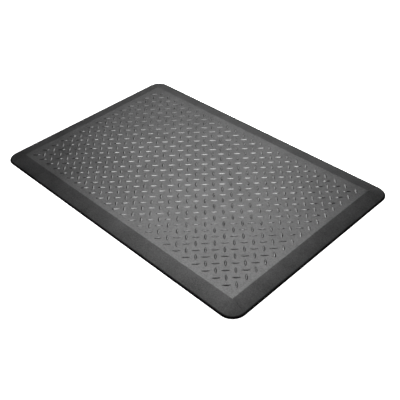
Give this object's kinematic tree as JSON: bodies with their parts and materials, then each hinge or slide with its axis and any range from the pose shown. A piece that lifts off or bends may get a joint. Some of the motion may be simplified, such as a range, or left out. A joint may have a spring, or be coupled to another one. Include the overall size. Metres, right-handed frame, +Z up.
{
  "type": "anti fatigue mat",
  "caption": "Rectangular anti fatigue floor mat with a raised pointed-lug tread, a sloping border on all sides, rounded corners, a foam core and a non-slip base.",
  "frame": {"origin": "on the floor, under the centre of the mat", "axes": "+X along the long side, +Y along the short side, +Z up through the thickness, tread side up"},
  "size_m": [0.9144, 0.6096, 0.0159],
  "materials": {
    "cover_rubber": "satin charcoal rubber: fine pebbled grain on the field and border, smoother shinier lugs",
    "cushion_foam": "closed-cell foam, dull, near black",
    "base_rubber": "matte black, textured for grip"
  },
  "bodies": {
    "root": {"tread_cover": "cover_rubber", "foam_core": "cushion_foam", "base_sheet": "base_rubber"}
  },
  "joints": []
}
